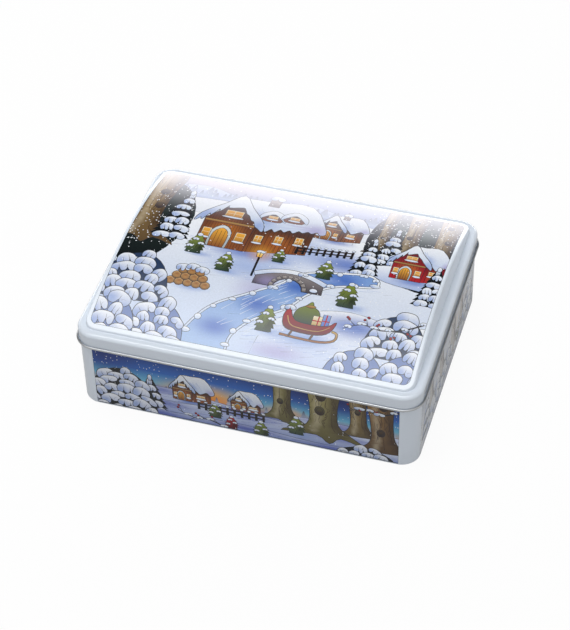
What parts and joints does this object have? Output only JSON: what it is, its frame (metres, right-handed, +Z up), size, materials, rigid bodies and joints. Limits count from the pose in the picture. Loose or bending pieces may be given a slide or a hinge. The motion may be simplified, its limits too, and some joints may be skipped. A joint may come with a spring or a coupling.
{
  "type": "praline tin",
  "caption": "Rectangular rounded-corner tinplate tin with an arched slip-on lid, printed panels and a rolled rim.",
  "frame": {"origin": "on the table, under the middle of the tin", "axes": "+Z up; +X along the tin's long side; -Y is the front"},
  "size_m": [0.2552, 0.1942, 0.085],
  "materials": {
    "body_wall": "gloss white enamel with printed panels, clear varnish",
    "base_plate": "bare tinplate, lacquered",
    "lid": "gloss white enamel with a printed panel, clear varnish"
  },
  "bodies": {
    "tin_body": {"body_wall": "body_wall", "base_plate": "base_plate"},
    "lid": {"lid": "lid"}
  },
  "joints": [
    {"name": "lid_lift", "type": "slide", "parent": "tin_body", "child": "lid", "axis": [0, 0, 1], "range_m": [0, 0.12]}
  ]
}
